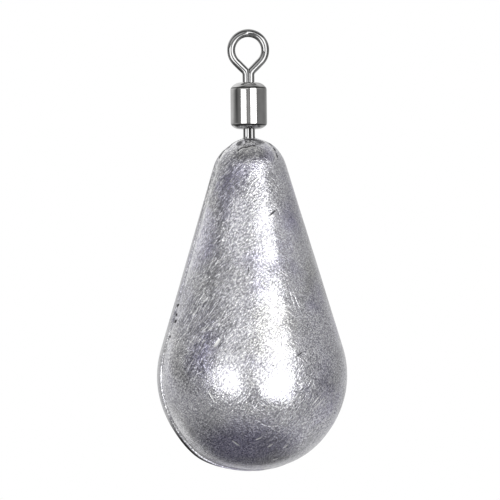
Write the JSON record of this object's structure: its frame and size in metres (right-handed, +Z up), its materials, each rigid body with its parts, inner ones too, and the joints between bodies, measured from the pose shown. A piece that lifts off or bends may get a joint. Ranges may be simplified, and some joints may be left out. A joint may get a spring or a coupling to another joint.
{
  "type": "fishing sinker",
  "caption": "Pear-shaped cast sinker hung from a barrel swivel, with a wire eye for the line on top and a wire eye cast into the weight below.",
  "frame": {"origin": "centre of the line eye's hole", "axes": "+Z up the swivel's axis, away from the lead; +Y through the line eye's hole; +X across the eye"},
  "size_m": [0.0191, 0.0189, 0.0442],
  "materials": {
    "lead": "satin",
    "swivel_barrel": "polished",
    "swivel_wire": "polished"
  },
  "bodies": {
    "line_end": {"upper_eye": "swivel_wire"},
    "swivel_barrel": {"barrel": "swivel_barrel"},
    "sinker": {"lower_eye": "swivel_wire", "lead_body": "lead"}
  },
  "joints": [
    {"name": "barrel_spin", "type": "hinge", "parent": "line_end", "child": "swivel_barrel", "pos_m": [0, 0, -0.0032], "axis": [0, 0, 1], "continuous": true},
    {"name": "sinker_spin", "type": "hinge", "parent": "swivel_barrel", "child": "sinker", "pos_m": [0, 0, -0.0079], "axis": [0, 0, 1], "continuous": true}
  ]
}
